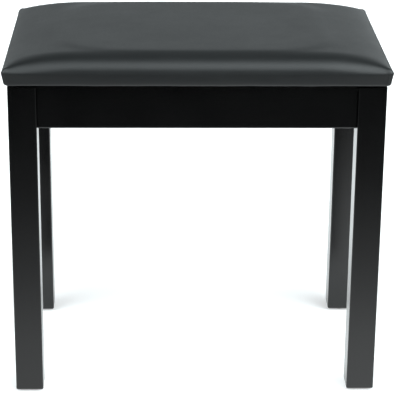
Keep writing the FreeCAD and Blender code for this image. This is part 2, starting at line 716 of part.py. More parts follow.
def build_stay():
    """Brackets, links and rivets of the stay, with the holes their screws need."""
    frame_x = STAY_X
    lower_x = frame_x + BRACKET_THICKNESS + LINK_GAP
    upper_x = lower_x + LINK_THICKNESS + LINK_GAP
    lid_x = upper_x + LINK_THICKNESS + LINK_GAP
    base = stay_point(STAY_BASE_PIVOT)
    elbow = stay_point(elbow_pivot(STAY_LID_PIVOT))
    lid = stay_point(STAY_LID_PIVOT)

    screw_x = frame_x + BRACKET_THICKNESS - BRACKET_FLANGE / 2 - BRACKET_SCREW_SHIFT
    middle_z = FLOOR_TOP + BLOCK_ABOVE_FLOOR + FRAME_BRACKET_HEIGHT / 2
    face_y = APRON_INNER_Y - BRACKET_THICKNESS
    frame_places = [(screw_x, face_y, z) for z in pair_about(middle_z, BRACKET_SCREW_SPACING)]
    frame_screws, frame_holes = screws_at(BRACKET_SCREW, frame_places, BACKWARD * -1)

    screw_x = lid_x + BRACKET_FLANGE / 2 + BRACKET_SCREW_SHIFT
    face_z = SEAT_UNDERSIDE - BRACKET_THICKNESS
    lid_places = [(screw_x, y, face_z) for y in pair_about(lid[0], BRACKET_SCREW_SPACING)]
    lid_screws, lid_holes = screws_at(BRACKET_SCREW, lid_places, DOWN)

    export("stay_frame_bracket", [frame_bracket(frame_x, frame_holes)])
    export("stay_lid_bracket", [lid_bracket(lid_x, lid_holes)])
    export("stay_frame_bracket_screws", frame_screws)
    export("stay_lid_bracket_screws", lid_screws)
    lower_bores = [(base, RIVET_BORE_RADIUS), (elbow, RIVET_RADIUS)]
    upper_bores = [(elbow, RIVET_BORE_RADIUS), (lid, RIVET_RADIUS)]
    beyond = LINK_THICKNESS + LINK_GAP
    stub = LINK_THICKNESS + RIVET_END_GAP
    export("stay_lower_link", [link(base, elbow, lower_x, lower_bores)])
    export("stay_upper_link", [link(elbow, lid, upper_x, upper_bores)])
    export("stay_base_rivet", [rivet(base, frame_x, lower_x + beyond, True, True)])
    export("stay_elbow_rivet", [rivet(elbow, lower_x, upper_x + beyond, True, True)])
    export("stay_upper_link_rivet", [rivet(lid, upper_x, upper_x + stub, True, False)])
    export("stay_lid_rivet", [rivet(lid, lid_x, lid_x + BRACKET_THICKNESS, False, True)])
    return frame_holes, lid_holes


def build_hinges():
    """Leaves, pins and screws of both hinges, with the holes the screws need."""
    frame_leaf_bottom = FRAME_TOP
    lid_leaf_bottom = SEAT_UNDERSIDE - LEAF_THICKNESS
    frame_knuckles = range(0, KNUCKLES, 2)
    lid_knuckles = range(1, KNUCKLES, 2)
    frame_screws, frame_holes, lid_screws, lid_holes = [], [], [], []
    for side, centre in HINGE_CENTRES.items():
        places = hinge_screw_places(centre, frame_leaf_bottom + LEAF_THICKNESS)
        lower, lower_holes = screws_at(HINGE_SCREW, places, UP)
        places = hinge_screw_places(centre, lid_leaf_bottom)
        upper, upper_holes = screws_at(HINGE_SCREW, places, DOWN)
        frame_leaf = leaf(centre, frame_leaf_bottom, frame_knuckles, lid_knuckles, lower_holes)
        lid_leaf = leaf(centre, lid_leaf_bottom, lid_knuckles, frame_knuckles, upper_holes)
        export("hinge_" + side + "_frame_leaf", [frame_leaf])
        export("hinge_" + side + "_lid_leaf", [lid_leaf])
        export("hinge_" + side + "_pin", [hinge_pin(centre)])
        frame_screws += lower
        frame_holes += lower_holes
        lid_screws += upper
        lid_holes += upper_holes
    export("hinge_frame_screws", frame_screws)
    export("hinge_lid_screws", lid_screws)
    return frame_holes, lid_holes


def build_seat(screw_holes):
    """Board, foam, cover, dust cover and staples of the lid."""
    inner = seat_form(COVER_THICKNESS)
    half_length = SEAT_LENGTH / 2 - SEAT_TAPER - COVER_THICKNESS
    half_depth = SEAT_DEPTH / 2 - SEAT_TAPER - COVER_THICKNESS
    radius = SEAT_CORNER_RADIUS - COVER_THICKNESS
    outline = rounded_outline(half_length, half_depth, radius, BOARD_BOTTOM)
    board = Part.Face(outline).extrude(UP * BOARD_THICKNESS).common(inner)
    above_board = box((-SEAT_LENGTH, -SEAT_DEPTH, BOARD_TOP), (SEAT_LENGTH, SEAT_DEPTH, SEAT_TOP))
    foam = inner.common(above_board)
    cover = seat_form(0.0).cut([foam, board])
    dust_inset = SEAT_TAPER + COVER_THICKNESS + COVER_RETURN + DUST_COVER_GAP + DUST_STAPLE_INSET
    staples = staple_row(COVER_STAPLE_INSET, COVER_STAPLE_PITCH)
    staples += staple_row(dust_inset, DUST_STAPLE_PITCH)
    export("seat_cover", [without(cover, [return_opening(0.0)] + staples + screw_holes)])
    export("seat_foam", [foam])
    export("seat_board", [without(board, staples + screw_holes)])
    export("dust_cover", [without(return_opening(DUST_COVER_GAP), staples + screw_holes)])
    export("underside_staples", staples)


def build_frame(back_apron_holes):
    """Legs, aprons, floor, corner blocks and what fastens them."""
    groove = floor_panel(GROOVE_CLEARANCE)
    screws = []
    screw_holes = []
    for name, signs in CORNERS.items():
        made, holes = block_screws(signs)
        screws += made
        screw_holes += holes
        export("leg_" + name, [leg(signs)])
        export("glide_" + name, [glide(signs)])
        holes.append(bolt_hole(signs, BOLT_HOLE_RADIUS))
        export("corner_block_" + name, [without(corner_block(signs), holes)])
    export("apron_front", [long_apron(-1, [groove] + screw_holes)])
    export("apron_back", [long_apron(1, [groove] + screw_holes + back_apron_holes)])
    export("apron_left", [side_apron(-1, [groove] + screw_holes)])
    export("apron_right", [side_apron(1, [groove] + screw_holes)])
    export("compartment_floor", [floor_panel(0.0)])
    export("corner_block_screws", screws)
    groups = {
        "hanger_bolts": hanger_bolt,
        "bolt_washers": washer,
        "bolt_nuts": nut,
        "glide_nails": glide_nail,
        "lid_bumpers": bumper,
    }
    for node, maker in groups.items():
        export(node, [maker(signs) for signs in CORNERS.values()])


def main():
    """Build every node."""
    os.makedirs("parts", exist_ok=True)
    stay_frame_holes, stay_lid_holes = build_stay()
    hinge_frame_holes, hinge_lid_holes = build_hinges()
    build_frame(stay_frame_holes + hinge_frame_holes)
    build_seat(stay_lid_holes + hinge_lid_holes)
    print_stay_motion()


main()
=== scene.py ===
"""Looks of the upholstered piano bench: vinyl seat cover, finishes, floor, light and camera."""

import json
import math

import bmesh
import bpy
import numpy as np
from mathutils import Matrix, Vector


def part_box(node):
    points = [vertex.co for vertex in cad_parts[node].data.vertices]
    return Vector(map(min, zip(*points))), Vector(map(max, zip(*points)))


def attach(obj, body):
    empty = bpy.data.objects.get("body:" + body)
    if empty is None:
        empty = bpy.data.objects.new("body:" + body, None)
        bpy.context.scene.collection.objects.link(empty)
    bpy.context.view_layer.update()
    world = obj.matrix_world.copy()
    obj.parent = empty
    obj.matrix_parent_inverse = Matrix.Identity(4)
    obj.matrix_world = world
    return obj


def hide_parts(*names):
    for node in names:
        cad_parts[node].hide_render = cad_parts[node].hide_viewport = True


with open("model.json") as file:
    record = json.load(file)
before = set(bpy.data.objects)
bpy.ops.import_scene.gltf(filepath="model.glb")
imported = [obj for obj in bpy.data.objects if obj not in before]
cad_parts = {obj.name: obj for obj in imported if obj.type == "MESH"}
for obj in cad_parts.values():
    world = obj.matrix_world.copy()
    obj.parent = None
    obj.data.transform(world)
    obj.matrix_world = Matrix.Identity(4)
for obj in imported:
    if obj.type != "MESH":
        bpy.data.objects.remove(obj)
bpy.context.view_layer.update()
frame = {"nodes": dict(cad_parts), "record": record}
MM = 0.001

# Seat cover, in metres
SEAT_LOW, SEAT_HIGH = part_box("seat_cover")
HALF_LENGTH = (SEAT_HIGH.x - SEAT_LOW.x) / 2
HALF_DEPTH = (SEAT_HIGH.y - SEAT_LOW.y) / 2
UNDERSIDE = SEAT_LOW.z
CREASE = UNDERSIDE + 19.0 * MM        # where the side band turns into the padded top
CROWN = 24.2 * MM                     # height of the padding above the crease
LONG_ROLL = 36 * MM                   # how far the padding takes to rise from the long sides
END_ROLL = 105 * MM                   # and from the ends
END_POWER = 0.52
SIDE_POWERS = (0.5, 0.80)             # roundness of the long roll, in the middle and at the ends
BLEND = 2.6                           # how sharply the long and end rolls meet
TIP_HEIGHT = 1.6 * MM                 # gathered cover standing up at each corner
TIP_RADIUS = 4.5 * MM
BULGE = 1.0 * MM                      # how far the long sides stand out at their middle
CORNER_RADIUS = 5.5 * MM
BAND_TAPER = 3.0 * MM
LOWER_RADIUS = 4.0 * MM
RETURN_WIDTH = 24 * MM
RETURN_THICKNESS = 1.0 * MM
# Grid lines from the edge inward, in millimetres, closest where the padding is steepest
EDGE_STEPS = [0.5, 1.3, 2.3, 3.5, 5.0, 6.6, 8.4, 10.4, 12.6, 15.0, 17.6, 20.4, 23.4, 26.8, 30.6, 35.0, 40.0]
GRID_PITCH = 5.0 * MM
SIM_FRAMES = 20
SIM_PRESSURE = 4.0
SIM_TRAVEL = 1.0 * MM                 # cap on the smoothed travel, which would be about 19 mm without it
HELD_RISE = 6 * MM                    # height above the crease where the cover is wholly free
SMOOTHING_ROUNDS = 60
FOLD_SHARE = 0.3                      # of the simulated wrinkles kept beside the corners
FOLD_REACH = 40 * MM
EDGE_WAVE = 0.45 * MM                 # unevenness of the lower edge
PLEAT_DEPTH = 0.9 * MM
WRINKLE_DEPTH = 0.60 * MM             # small gathers low on the long sides, beside the corners
TUCK_PLACE = 5.0 * MM                 # tuck on each short side, from the corner at the crease
TUCK_LEAN = 5.0 * MM                  # and how much further in it runs at the foot of the band
FLAP_EDGE = 0.9 * MM
FLAP_FADE = 9 * MM
PLEATS = ((0.45, 12.0, 2.5), (-0.35, 14.6, 3.0), (0.30, 17.5, 4.0))    # size, place and lean in mm
PLEAT_WIDTH = 1.1 * MM
CRIMP_SHARE = 0.28
BAND_MARGIN = 3 * MM                  # how far from the band's face a point still counts as on it
UNDER_MARGIN = 0.4 * MM               # points below this height lie on the turned-under return
WAVE_RISE = 9 * MM                    # height over which the wave of the lower edge fades out
WAVES = ((47.0, 0.0, 0.5), (103.0, 1.3, 0.3), (211.0, 0.4, 0.2))       # radians per metre, phase, share

# Camera, fitted to the picture's viewing angle
CAMERA_PLACE = Vector((-0.0624, -2.4639, 1.1674))
CAMERA_YAW = 0.0291
CAMERA_PITCH = math.radians(20.586)
CAMERA_ROLL = math.radians(0.556)
CAMERA_LENS = 155.2
CAMERA_SENSOR = 36.0

# Light levels. The lean is in degrees from straight up toward the front;
# places along run from 0 at the left horizon to 1 at the right horizon.
LIGHT_BY_LEAN = (
    (-90, 0.9), (-70, 0.54), (-58, 0.44), (-48, 0.34), (-38, 0.14), (-28, 0.03), (-10, 0.02), (0, 0.5),
    (12, 1.7), (25, 2.2), (42, 2.0), (56, 0.9), (66, 0.2), (90, 0.08),
)
BACKDROP_ALONG = (
    (0.0, 0.03), (0.25, 0.075), (0.4, 0.097), (0.5, 0.11), (0.6, 0.118), (0.78, 0.15), (1.0, 0.07),
)
LAMP_ALONG = (
    (0.0, 0.03), (0.10, 0.26), (0.25, 0.31), (0.41, 0.103), (0.48, 0.052), (0.52, 0.055),
    (0.63, 0.34), (0.75, 0.37), (0.90, 0.30), (1.0, 0.03),
)
LIGHT_STRENGTH = 7.8

# Floor as glossy surfaces see it: level by half the distance from the bench, in metres
REFLECTED_FLOOR = (
    (0.0, 0.93), (0.09, 0.84), (0.15, 0.67), (0.20, 0.51), (0.25, 0.40), (0.305, 0.31),
    (0.36, 0.22), (0.41, 0.16), (0.485, 0.09), (0.54, 0.045), (0.60, 0.02), (1.0, 0.008),
)
REFLECTED_STRENGTH = (1.45, 1.85)     # at the left and right of the bench, brighter than the floor seen
REFLECTED_BEHIND = 0.85               # the floor stays bright this far behind the bench
REFLECTED_HEIGHT = 0.6 * MM
FLOOR_GLOW = 0.43


# ------------------------------------------------------------------ node helpers

class Graph:
    """Small helper that builds a shader node tree."""

    def __init__(self, tree):
        self.tree = tree
        self.tree.nodes.clear()

    def add(self, kind, settings=None, **inputs):
        node = self.tree.nodes.new(kind)
        for name, value in (settings or {}).items():
            setattr(node, name, value)
        for name, value in inputs.items():
            self.feed(node, name.replace("_", " "), value)
        return node

    def feed(self, node, name, value):
        socket = node.inputs[int(name)] if name.isdigit() else node.inputs[name]
        if isinstance(value, bpy.types.NodeSocket):
            self.tree.links.new(value, socket)
        else:
            socket.default_value = value

    def math(self, operation, *values, clamp=False):
        node = self.tree.nodes.new("ShaderNodeMath")
        node.operation = operation
        node.use_clamp = clamp
        for index, value in enumerate(values):
            self.feed(node, str(index), value)
        return node.outputs[0]

    def remap(self, value, low, high, new_low=0.0, new_high=1.0, smooth=False):
        node = self.tree.nodes.new("ShaderNodeMapRange")
        node.interpolation_type = "SMOOTHSTEP" if smooth else "LINEAR"
        for index, entry in enumerate((value, low, high, new_low, new_high)):
            self.feed(node, str(index), entry)
        return node.outputs[0]

    def ramp(self, value, stops, mode="LINEAR"):
        node = self.tree.nodes.new("ShaderNodeValToRGB")
        node.color_ramp.interpolation = mode
        while len(node.color_ramp.elements) < len(stops):
            node.color_ramp.elements.new(0.5)
        for element, (place, colour) in zip(node.color_ramp.elements, stops):
            element.position = place
            element.color = tuple(colour) + (1.0,) if hasattr(colour, "__len__") else (colour,) * 3 + (1.0,)
        self.feed(node, "Fac", value)
        return node.outputs["Color"]

    def mix(self, factor, first, second):
        node = self.tree.nodes.new("ShaderNodeMix")
        node.data_type = "RGBA"
        self.feed(node, "0", factor)
        for index, value in ((6, first), (7, second)):
            value = tuple(value) + (1.0,) if hasattr(value, "__len__") else value
            self.feed(node, str(index), value)
        return node.outputs[2]

    def stretched(self, scale):
        coord = self.tree.nodes.new("ShaderNodeTexCoord")
        mapping = self.add("ShaderNodeMapping", Vector=coord.outputs["Object"], Scale=scale)
        return mapping.outputs["Vector"]

    def noise(self, vector, scale, detail=3.0, roughness=0.5):
        node = self.add("ShaderNodeTexNoise", Vector=vector, Scale=scale, Detail=detail, Roughness=roughness)
        return node.outputs["Fac"]

    def bump(self, height, strength, distance, normal=None):
        node = self.add("ShaderNodeBump", Height=height, Strength=strength, Distance=distance)
        if normal is not None:
            self.feed(node, "Normal", normal)
        return node.outputs["Normal"]

    def surface(self, **inputs):
        shader = self.add("ShaderNodeBsdfPrincipled", **inputs)
        out = self.tree.nodes.new("ShaderNodeOutputMaterial")
        self.tree.links.new(shader.outputs[0], out.inputs["Surface"])
        return shader


def material(name):
    made = bpy.data.materials.new(name)
    made.use_nodes = True
    return made, Graph(made.node_tree)


# ------------------------------------------------------------------- materials

def black_lacquer():
    """Satin black lacquer: a little orange peel, and grain telegraphing through."""
    made, g = material("black_lacquer")
    place = g.stretched((1, 1, 1))
    cloud = g.noise(place, 14.0, 3.0)
    dust = g.noise(place, 900.0, 2.0)
    peel = g.noise(place, 260.0, 2.0)
    colour = g.mix(cloud, (0.0010, 0.0010, 0.0011), (0.0017, 0.0017, 0.0017))
    rough = g.math("ADD", g.remap(cloud, 0.3, 0.7, 0.17, 0.21), g.remap(dust, 0.45, 0.75, 0.0, 0.04))
    normal = g.bump(peel, 0.05, 0.0004)
    g.surface(Base_Color=colour, Roughness=rough, Normal=normal, IOR=1.5)
    return made


def seat_vinyl():
    """Black faux leather: pebbled grain, softly mottled sheen."""
    made, g = material("seat_vinyl")
    place = g.stretched((1, 1, 1))
    warp = g.add("ShaderNodeTexNoise", Vector=place, Scale=500.0, Detail=2.0)
    warped = g.add(
        "ShaderNodeMixRGB", {"blend_type": "ADD"}, Fac=0.0012, Color1=place, Color2=warp.outputs["Color"]
    )
    cells = g.add(
        "ShaderNodeTexVoronoi", {"feature": "DISTANCE_TO_EDGE"}, Vector=warped.outputs[0], Scale=720.0
    ).outputs["Distance"]
    pebble = g.remap(cells, 0.0, 0.28, 0.0, 1.0, smooth=True)
    fine = g.noise(place, 2600.0, 2.0)
    cloud = g.noise(place, 9.0, 4.0, 0.6)
    patches = g.noise(place, 34.0, 3.0, 0.55)
    tone = g.math("ADD", g.math("MULTIPLY", cloud, 0.6), g.math("MULTIPLY", patches, 0.4))
    colour = g.mix(tone, (0.0077, 0.0087, 0.0090), (0.0123, 0.0136, 0.0140))
    # painted shade: the colour is darker in the valleys between the pebbles of the grain
    colour = g.mix(g.remap(pebble, 0.0, 1.0, 0.35, 0.0), colour, (0.005, 0.0055, 0.006))
    rough = g.math("ADD", g.remap(tone, 0.35, 0.65, 0.33, 0.38), g.remap(pebble, 0.0, 1.0, 0.08, 0.0))
    height = g.math("ADD", g.math("MULTIPLY", pebble, 0.8), g.math("MULTIPLY", fine, 0.2))
    soft = g.bump(patches, 0.10, 0.0015)
    normal = g.bump(height, 0.16, 0.00012, soft)
    g.surface(Base_Color=colour, Roughness=rough, Normal=normal, IOR=1.5)
    return made


def wood(name, light, dark, along, scale, rough=(0.5, 0.62)):
    """Plain wood with long grain: along names how the grain runs."""
    made, g = material(name)
    coord = g.tree.nodes.new("ShaderNodeTexCoord")
    split = g.add("ShaderNodeSeparateXYZ", Vector=coord.outputs["Object"])
    x, y, z = split.outputs
    if along == "diagonal":
        across_x = g.math("ABSOLUTE", x)
        across_y = g.math("ABSOLUTE", y)
        run = g.math("SUBTRACT", across_x, across_y)
        side = g.math("ADD", across_x, across_y)
    else:
        run, side = x, y
    slow = g.math("MULTIPLY", run, 0.06)
    place = g.add("ShaderNodeCombineXYZ", X=slow, Y=side, Z=z).outputs[0]
    rings = g.noise(place, scale, 4.0, 0.62)
    pores = g.noise(place, scale * 9.0, 2.0, 0.7)
    tone = g.math("ADD", g.math("MULTIPLY", rings, 0.75), g.math("MULTIPLY", pores, 0.25))
    colour = g.ramp(tone, ((0.30, dark), (0.50, light), (0.72, [c * 1.12 for c in light])))
    normal = g.bump(pores, 0.25, 0.0003)
    g.surface(Base_Color=colour, Roughness=g.remap(pores, 0.3, 0.7, *rough), Normal=normal)
    return made


def plywood():
    """Raw plywood: plies banded through the thickness, grain turned in each."""
    made, g = material("seat_plywood")
    coord = g.tree.nodes.new("ShaderNodeTexCoord")
    split = g.add("ShaderNodeSeparateXYZ", Vector=coord.outputs["Object"])
    x, y, z = split.outputs
    ply = g.math("FRACT", g.math("MULTIPLY", z, 1 / (3.4 * MM)))
    turned = g.math("GREATER_THAN", ply, 0.5)
    first = g.add("ShaderNodeCombineXYZ", X=g.math("MULTIPLY", x, 0.06), Y=y, Z=z).outputs[0]
    second = g.add("ShaderNodeCombineXYZ", X=x, Y=g.math("MULTIPLY", y, 0.06), Z=z).outputs[0]
    grain = g.mix(turned, g.noise(first, 260.0, 3.0), g.noise(second, 420.0, 3.0))
    colour = g.ramp(grain, ((0.3, (0.36, 0.22, 0.11)), (0.7, (0.66, 0.47, 0.28))))
    colour = g.mix(g.math("MULTIPLY", turned, 0.35), colour, (0.30, 0.18, 0.09))
    rough = g.remap(grain, 0.3, 0.7, 0.7, 0.8)
    g.surface(Base_Color=colour, Roughness=rough, Normal=g.bump(grain, 0.2, 0.0003))
    return made


def metal(name, colour, stain, rough, brush):
    """Plated steel with faint drawing lines and cloudy plating."""
    made, g = material(name)
    place = g.stretched(brush)
    lines = g.noise(place, 900.0, 3.0, 0.6)
    cloud = g.noise(g.stretched((1, 1, 1)), 120.0, 4.0, 0.6)
    shade = g.mix(g.remap(cloud, 0.35, 0.7), colour, stain)
    shine = g.math("ADD", g.remap(lines, 0.3, 0.7, rough[0], rough[1]), g.remap(cloud, 0.5, 0.8, 0.0, 0.08))
    g.surface(Base_Color=shade, Metallic=1.0, Roughness=shine, Normal=g.bump(lines, 0.08, 0.0001))
    return made


def moulded(name, colour, worn, rough, grain, depth):
    """Moulded plastic or rubber with a fine skin."""
    made, g = material(name)
    place = g.stretched((1, 1, 1))
    skin = g.noise(place, grain, 3.0, 0.6)
    cloud = g.noise(place, 60.0, 3.0)
    shade = g.mix(g.remap(cloud, 0.4, 0.75), colour, worn)
    g.surface(Base_Color=shade, Roughness=g.remap(skin, 0.3, 0.7, *rough), Normal=g.bump(skin, 0.3, depth))
    return made


def dust_cloth():
    """Black non-woven cloth with its pattern of bonding dots."""
    made, g = material("dust_cloth")
    place = g.stretched((1, 1, 1))
    dots = g.add("ShaderNodeTexVoronoi", Vector=place, Scale=420.0, Randomness=0.15).outputs["Distance"]
    bond = g.remap(dots, 0.22, 0.34, 0.0, 1.0, smooth=True)
    fibre = g.noise(place, 1600.0, 4.0, 0.7)
    drift = g.noise(place, 22.0, 3.0)
    colour = g.mix(fibre, (0.010, 0.010, 0.011), (0.034, 0.034, 0.036))
    colour = g.mix(g.math("MULTIPLY", g.remap(drift, 0.4, 0.7), 0.4), colour, (0.040, 0.039, 0.038))
    height = g.math("ADD", g.math("MULTIPLY", bond, 0.7), g.math("MULTIPLY", fibre, 0.3))
    rough = g.remap(fibre, 0.3, 0.7, 0.78, 0.92)
    g.surface(Base_Color=colour, Roughness=rough, Normal=g.bump(height, 0.5, 0.0004), Sheen_Weight=0.2)
    return made


def paint_cad_nodes(finishes):
    """Give every CAD node the finish of its slot in the record."""
    for part in frame["record"]["subparts"]:
        node = frame["nodes"][part["node"]]
        node.data.materials.clear()
        node.data.materials.append(finishes[part["material_slot"]])


# ------------------------------------------------------------------ seat cover

def grid_lines(half):
    """Positions of the grid lines across one direction, close together at the edges."""
    edge = [half - step * MM for step in EDGE_STEPS]
    inner = edge[-1]
    count = round(inner / GRID_PITCH)
    positive = [inner * i / count for i in range(count)] + edge[::-1] + [half]
    return [-value for value in reversed(positive[1:])] + positive


def corner_rounded(x, y, half_x, half_y, radius):
    """Bend the square corner of a level rectangle into a round one."""
    over_x = (abs(x) - (half_x - radius)) / radius
    over_y = (abs(y) - (half_y - radius)) / radius
    if over_x <= 0 or over_y <= 0:
        return x, y
    squeeze = max(over_x, over_y) / math.hypot(over_x, over_y)
    new_x = half_x - radius + over_x * squeeze * radius
    new_y = half_y - radius + over_y * squeeze * radius
    return math.copysign(new_x, x), math.copysign(new_y, y)


def padding(x, y):
    """Height of the padded top above the crease."""
    from_end = min(1.0, (HALF_LENGTH - abs(x)) / END_ROLL)
    from_side = min(1.0, (HALF_DEPTH - abs(y)) / LONG_ROLL)
    round_side, taut_side = SIDE_POWERS
    power = taut_side + (round_side - taut_side) * from_end * from_end * (3 - 2 * from_end)
    rise_end = max(0.0, 1 - (1 - from_end) ** 2) ** END_POWER
    rise_side = max(0.0, 1 - (1 - from_side) ** 2) ** power
    if min(rise_end, rise_side) <= 0:
        return 0.0
    to_tip = math.hypot(HALF_LENGTH - abs(x) - TIP_RADIUS, HALF_DEPTH - abs(y) - TIP_RADIUS)
    tip = TIP_HEIGHT * math.exp(-((to_tip / TIP_RADIUS) ** 2))
    return CROWN * (rise_end ** -BLEND + rise_side ** -BLEND - 1) ** (-1 / BLEND) + tip


def band_rings():
    """Inward offset and height of each ring from the crease down and under."""
    rings = []
    foot = UNDERSIDE + LOWER_RADIUS
    for share in (0.06, 0.16, 0.3, 0.45, 0.6, 0.75, 0.88, 1.0):
        height = CREASE + (foot - CREASE) * share
        rings.append((BAND_TAPER * (CREASE - height) / (CREASE - UNDERSIDE), height))
    start = rings[-1][0]
    for turn in (22.5, 45.0, 67.5, 90.0):
        angle = math.radians(turn)
        inward = start + LOWER_RADIUS * (1 - math.cos(angle))
        rings.append((inward, foot - LOWER_RADIUS * math.sin(angle)))
    return rings


def seat_cover_mesh():
    """Top grid, side band, rounded lower edge and turned-under return as one mesh."""
    xs, ys = grid_lines(HALF_LENGTH), grid_lines(HALF_DEPTH)
    nx, ny = len(xs), len(ys)
    mesh = bmesh.new()
    top = {}
    for i, x in enumerate(xs):
        for j, y in enumerate(ys):
            px, py = corner_rounded(x, y, HALF_LENGTH, HALF_DEPTH, CORNER_RADIUS)
            top[i, j] = mesh.verts.new((px, py, CREASE + padding(x, y)))
    for i in range(nx - 1):
        for j in range(ny - 1):
            mesh.faces.new((top[i, j], top[i + 1, j], top[i + 1, j + 1], top[i, j + 1]))
    loop = [(i, 0) for i in range(nx)] + [(nx - 1, j) for j in range(1, ny)]
    loop += [(i, ny - 1) for i in range(nx - 2, -1, -1)] + [(0, j) for j in range(ny - 2, 0, -1)]
    previous = [top[key] for key in loop]
    rings = band_rings()
    last = rings[-1][0]
    under = [(last + (RETURN_WIDTH - LOWER_RADIUS) * k / 6, UNDERSIDE) for k in range(1, 7)]
    inner_edge = [(under[-1][0], UNDERSIDE + RETURN_THICKNESS)]
    for inward, height in rings + under + inner_edge:
        half_x, half_y = HALF_LENGTH - inward, HALF_DEPTH - inward
        radius = CORNER_RADIUS + min(inward, LOWER_RADIUS) * 0.3
        ring = []
        for i, j in loop:
            x = max(-half_x, min(half_x, xs[i] * half_x / HALF_LENGTH if abs(xs[i]) < HALF_LENGTH else xs[i]))
            y = max(-half_y, min(half_y, ys[j] * half_y / HALF_DEPTH if abs(ys[j]) < HALF_DEPTH else ys[j]))
            px, py = corner_rounded(x, y, half_x, half_y, radius)
            ring.append(mesh.verts.new((px, py, height)))
        for k in range(len(loop)):
            after = (k + 1) % len(loop)
            mesh.faces.new((previous[k], ring[k], ring[after], previous[after]))
        previous = ring
    data = bpy.data.meshes.new("seat_cover_vinyl")
    mesh.to_mesh(data)
    mesh.free()
    cover = bpy.data.objects.new("seat_cover_vinyl", data)
    bpy.context.scene.collection.objects.link(cover)
    return cover


def co_of(data):
    """Vertex positions of a mesh as an array."""
    points = np.zeros(len(data.vertices) * 3)
    data.vertices.foreach_get("co", points)
    return points.reshape(-1, 3)


def set_co(data, points):
    """Write vertex positions back to a mesh."""
    data.vertices.foreach_set("co", points.astype(np.float32).ravel())
    data.update()


def stuff(cover):
    """Blow the padded top up under its cover, held at the band, then smooth and cap its travel."""
    rest = co_of(cover.data)
    held = cover.vertex_groups.new(name="held")
    rise = np.clip((rest[:, 2] - CREASE) / HELD_RISE, 0, 1)
    for index, share in enumerate(rise):
        held.add([index], float(1 - share), "REPLACE")
    cloth = cover.modifiers.new("stuffing", "CLOTH")
    settings = cloth.settings
    settings.quality = 6
    settings.mass = 0.4
    settings.tension_stiffness = 25
    settings.compression_stiffness = 25
    settings.shear_stiffness = 12
    settings.bending_stiffness = 2
    settings.use_pressure = True
    settings.uniform_pressure_force = SIM_PRESSURE
    settings.vertex_group_mass = "held"
    settings.effector_weights.gravity = 0
    cloth.collision_settings.use_collision = False
    cloth.point_cache.frame_start = 1
    cloth.point_cache.frame_end = SIM_FRAMES
    scene = bpy.context.scene
    for step in range(1, SIM_FRAMES + 1):
        scene.frame_set(step)
    depsgraph = bpy.context.evaluated_depsgraph_get()
    settled = cover.evaluated_get(depsgraph).to_mesh()
    moved = co_of(settled)
    cover.evaluated_get(depsgraph).to_mesh_clear()
    cover.modifiers.remove(cloth)
    cover.vertex_groups.remove(held)
    scene.frame_set(1)
    travel = moved - rest
    even = spread_out(cover.data, travel, SMOOTHING_ROUNDS)
    to_corner = np.hypot(HALF_LENGTH - np.abs(rest[:, 0]), HALF_DEPTH - np.abs(rest[:, 1]))
    kept = FOLD_SHARE * np.exp(-((to_corner / FOLD_REACH) ** 2))[:, None]
    travel = even + kept * (travel - even)
    length = np.linalg.norm(travel, axis=1)
    capped = SIM_TRAVEL * np.tanh(length / SIM_TRAVEL)
    travel *= (capped / np.maximum(length, 1e-9))[:, None]
    print("stuffing: largest smoothed travel", round(length.max() / MM, 2), "mm")
    print("stuffing: kept", round(capped.max() / MM, 2), "mm")
    set_co(cover.data, rest + travel)


def spread_out(data, values, rounds):
    """Average a value per vertex with its neighbours, several times over."""
    pairs = np.zeros(len(data.edges) * 2, int)
    data.edges.foreach_get("vertices", pairs)
    first, second = pairs.reshape(-1, 2).T
    count = np.bincount(first, minlength=len(values)) + np.bincount(second, minlength=len(values))
    size = len(values)
    for _ in range(rounds):
        columns = [
            np.bincount(first, column[second], size) + np.bincount(second, column[first], size)
            for column in values.T
        ]
        values = 0.5 * values + 0.5 * np.array(columns).T / count[:, None]
    return values


def bump_at(value, centre, width):
    """Smooth hump of height 1 about a centre."""
    return np.exp(-(((value - centre) / width) ** 2))


def tuck_ends(points, low, taper, on_band, top_fade):
    """Folded flap, groove and pleats on the short sides, by each corner."""
    x, y, z = points.T
    on_end = on_band & (np.abs(x) > HALF_LENGTH - taper - BAND_MARGIN) & (z > UNDERSIDE + UNDER_MARGIN)
    from_corner = HALF_DEPTH - taper - np.abs(y)
    tuck_line = TUCK_PLACE + TUCK_LEAN * low
    beyond = from_corner - tuck_line
    flap = np.clip(1 + beyond / FLAP_EDGE, 0, 1) * np.exp(-np.clip(beyond, 0, None) / FLAP_FADE)
    groove = bump_at(from_corner, tuck_line - 0.6 * MM, 0.8 * MM)
    pleats = sum(
        size * bump_at(from_corner, (place + lean * low) * MM, PLEAT_WIDTH) for size, place, lean in PLEATS
    )
    push = PLEAT_DEPTH * (0.55 * flap - 0.6 * groove + pleats * (0.4 + 0.6 * low)) * top_fade * on_end
    points[:, 0] += np.sign(x) * push


def gather_sides(points, low, taper, on_band, top_fade):
    """Crimp and small gathers on the long sides, by each corner."""
    x, y, z = points.T
    on_side = on_band & (np.abs(y) > HALF_DEPTH - taper - BAND_MARGIN) & (z > UNDERSIDE + UNDER_MARGIN)
    beside = HALF_LENGTH - taper - np.abs(x)
    crimp = bump_at(beside, 6.5 * MM, 1.2 * MM) - 0.6 * bump_at(beside, 9.0 * MM, 1.3 * MM)
    points[:, 1] += np.sign(y) * PLEAT_DEPTH * CRIMP_SHARE * crimp * top_fade * on_side
    patch = bump_at(beside, 8 * MM, 5.5 * MM) * bump_at(low, 0.62, 0.38) * on_side
    gathers = np.sin(beside / (0.52 * MM) + 2.2 * low) * np.cos(z / (0.75 * MM) + beside / (2.1 * MM))
    points[:, 1] += np.sign(y) * WRINKLE_DEPTH * gathers * patch


